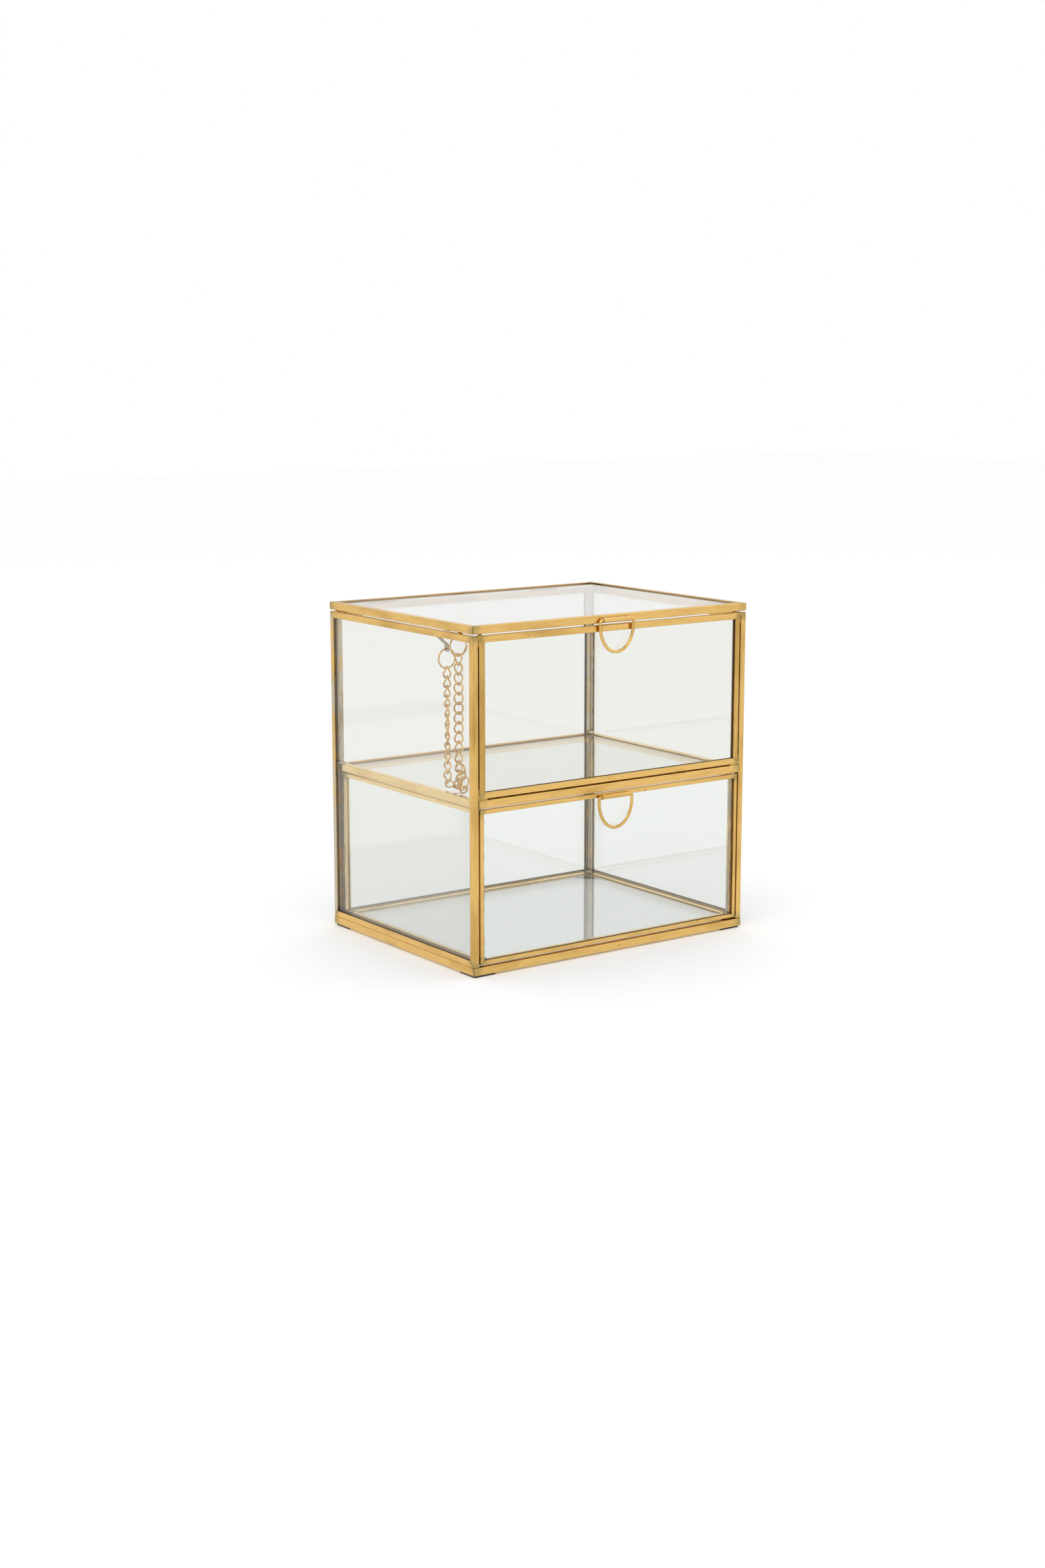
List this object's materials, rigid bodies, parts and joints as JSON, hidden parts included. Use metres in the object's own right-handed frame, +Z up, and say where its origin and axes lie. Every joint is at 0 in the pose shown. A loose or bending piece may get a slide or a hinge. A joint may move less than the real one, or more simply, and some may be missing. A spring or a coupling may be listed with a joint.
{
  "type": "jewelry box",
  "caption": "Two-tier box of clear glass panes in folded brass channel, with a hinged lid on a stay chain, a sliding drawer and hanging wire pulls.",
  "frame": {"origin": "on the floor, under the middle of the box", "axes": "+Z up, -Y out of the front where the drawer and the pulls are, +X to the right seen from the front"},
  "size_m": [0.18, 0.142, 0.1811],
  "materials": {
    "brass": "satin, lightly tarnished",
    "chain": "polished",
    "solder": "dull",
    "pads": "matt",
    "glass": "clear"
  },
  "bodies": {
    "case": {"base_glass": "glass", "base_rails": "brass", "base_stiles": "brass", "left_wall_glass": "glass", "left_wall_rails": "brass", "left_wall_stiles": "brass", "right_wall_glass": "glass", "right_wall_rails": "brass", "right_wall_stiles": "brass", "back_wall_glass": "glass", "back_wall_rails": "brass", "back_wall_stiles": "brass", "front_wall_glass": "glass", "front_wall_rails": "brass", "front_wall_stiles": "brass", "shelf_glass": "glass", "shelf_rails": "brass", "shelf_stiles": "brass", "base_pads": "pads", "front_wall_solder": "solder", "hinge_wall_knuckles": "brass", "hinge_pins": "brass", "chain_wall_tab": "chain"},
    "lid": {"lid_glass": "glass", "lid_rails": "brass", "lid_stiles": "brass", "hinge_lid_knuckles": "brass", "lid_pull_tube": "brass", "chain_lid_tab": "chain"},
    "drawer": {"drawer_front_glass": "glass", "drawer_front_rails": "brass", "drawer_front_stiles": "brass", "drawer_back_glass": "glass", "drawer_back_rails": "brass", "drawer_back_stiles": "brass", "drawer_left_glass": "glass", "drawer_left_rails": "brass", "drawer_left_stiles": "brass", "drawer_right_glass": "glass", "drawer_right_rails": "brass", "drawer_right_stiles": "brass", "drawer_floor_glass": "glass", "drawer_floor_rails": "brass", "drawer_floor_stiles": "brass", "drawer_pull_tube": "brass"},
    "lid_pull": {"lid_pull_ring": "brass"},
    "drawer_pull": {"drawer_pull_ring": "brass"},
    "chain_wall_strand": {"chain_wall_ring": "chain", "chain_wall_strand": "chain"},
    "chain_wall_end_link_1": {"chain_wall_end_link_1": "chain"},
    "chain_wall_end_link_2": {"chain_wall_end_link_2": "chain"},
    "chain_wall_end_link_3": {"chain_wall_end_link_3": "chain"},
    "chain_wall_end_link_4": {"chain_wall_end_link_4": "chain"},
    "chain_lid_strand": {"chain_lid_ring": "chain", "chain_lid_strand": "chain"},
    "chain_lid_end_link_1": {"chain_lid_end_link_1": "chain"},
    "chain_lid_end_link_2": {"chain_lid_end_link_2": "chain"},
    "chain_lid_end_link_3": {"chain_lid_end_link_3": "chain"}
  },
  "joints": [
    {"name": "lid_hinge", "type": "hinge", "parent": "case", "child": "lid", "pos_m": [0, 0.0698, 0.17645], "axis": [-1, 0, 0], "range_deg": [0, 106.5]},
    {"name": "drawer_slide", "type": "slide", "parent": "case", "child": "drawer", "axis": [0, -1, 0], "range_m": [0, 0.11]},
    {"name": "lid_pull_swing", "type": "hinge", "parent": "lid", "child": "lid_pull", "pos_m": [0, -0.06975, 0.1786], "axis": [-1, 0, 0], "range_deg": [0, 180]},
    {"name": "drawer_pull_swing", "type": "hinge", "parent": "drawer", "child": "drawer_pull", "pos_m": [0, -0.06975, 0.0854], "axis": [-1, 0, 0], "range_deg": [0, 180]},
    {"name": "chain_wall_strand_swing", "type": "hinge", "parent": "case", "child": "chain_wall_strand", "pos_m": [-0.0808, -0.0334, 0.1657], "axis": [1, 0, 0], "range_deg": [0, 132.32]},
    {"name": "chain_wall_end_link_1_turn", "type": "hinge", "parent": "chain_wall_strand", "child": "chain_wall_end_link_1", "pos_m": [-0.0808, -0.0334, 0.0956], "axis": [0.6225, 0.7826, 0], "range_deg": [0, 71]},
    {"name": "chain_wall_end_link_2_turn", "type": "hinge", "parent": "chain_wall_end_link_1", "child": "chain_wall_end_link_2", "pos_m": [-0.0771, -0.03634, 0.09397], "axis": [0.5839, 0.8024, -0.1234], "range_deg": [0, 80]},
    {"name": "chain_wall_end_link_3_turn", "type": "hinge", "parent": "chain_wall_end_link_2", "child": "chain_wall_end_link_3", "pos_m": [-0.07532, -0.03712, 0.09735], "axis": [-0.4968, 0.751, 0.435], "range_deg": [0, 45.01]},
    {"name": "chain_wall_end_link_4_turn", "type": "hinge", "parent": "chain_wall_end_link_3", "child": "chain_wall_end_link_4", "pos_m": [-0.07653, -0.0407, 0.10214], "axis": [0.8449, 0.304, 0.4401], "range_deg": [0, 50.01]},
    {"name": "chain_lid_strand_swing", "type": "hinge", "parent": "lid", "child": "chain_lid_strand", "pos_m": [-0.0808, -0.0438, 0.1732], "axis": [1, 0, 0], "range_deg": [0, 58.87]},
    {"name": "chain_lid_end_link_1_turn", "type": "hinge", "parent": "chain_lid_strand", "child": "chain_lid_end_link_1", "pos_m": [-0.0808, -0.0438, 0.0981], "axis": [0.9744, -0.225, 0], "range_deg": [0, 40.01]},
    {"name": "chain_lid_end_link_2_turn", "type": "hinge", "parent": "chain_lid_end_link_1", "child": "chain_lid_end_link_2", "pos_m": [-0.08152, -0.04693, 0.09427], "axis": [0.9849, -0.1657, -0.0504], "range_deg": [0, 80]},
    {"name": "chain_lid_end_link_3_turn", "type": "hinge", "parent": "chain_lid_end_link_2", "child": "chain_lid_end_link_3", "pos_m": [-0.08212, -0.05123, 0.09676], "axis": [0.972, -0.2032, -0.1182], "range_deg": [0, 80]}
  ],
  "couplings": [
    {"joint": "chain_wall_strand_swing", "follows": "lid_hinge", "ratio": 1.2424},
    {"joint": "chain_wall_end_link_1_turn", "follows": "lid_hinge", "ratio": 0.66667},
    {"joint": "chain_wall_end_link_2_turn", "follows": "lid_hinge", "ratio": 0.75117},
    {"joint": "chain_wall_end_link_3_turn", "follows": "lid_hinge", "ratio": 0.42253},
    {"joint": "chain_wall_end_link_4_turn", "follows": "lid_hinge", "ratio": 0.46948},
    {"joint": "chain_lid_strand_swing", "follows": "lid_hinge", "ratio": 0.55269},
    {"joint": "chain_lid_end_link_1_turn", "follows": "lid_hinge", "ratio": 0.37559},
    {"joint": "chain_lid_end_link_2_turn", "follows": "lid_hinge", "ratio": 0.75117},
    {"joint": "chain_lid_end_link_3_turn", "follows": "lid_hinge", "ratio": 0.75117}
  ]
}
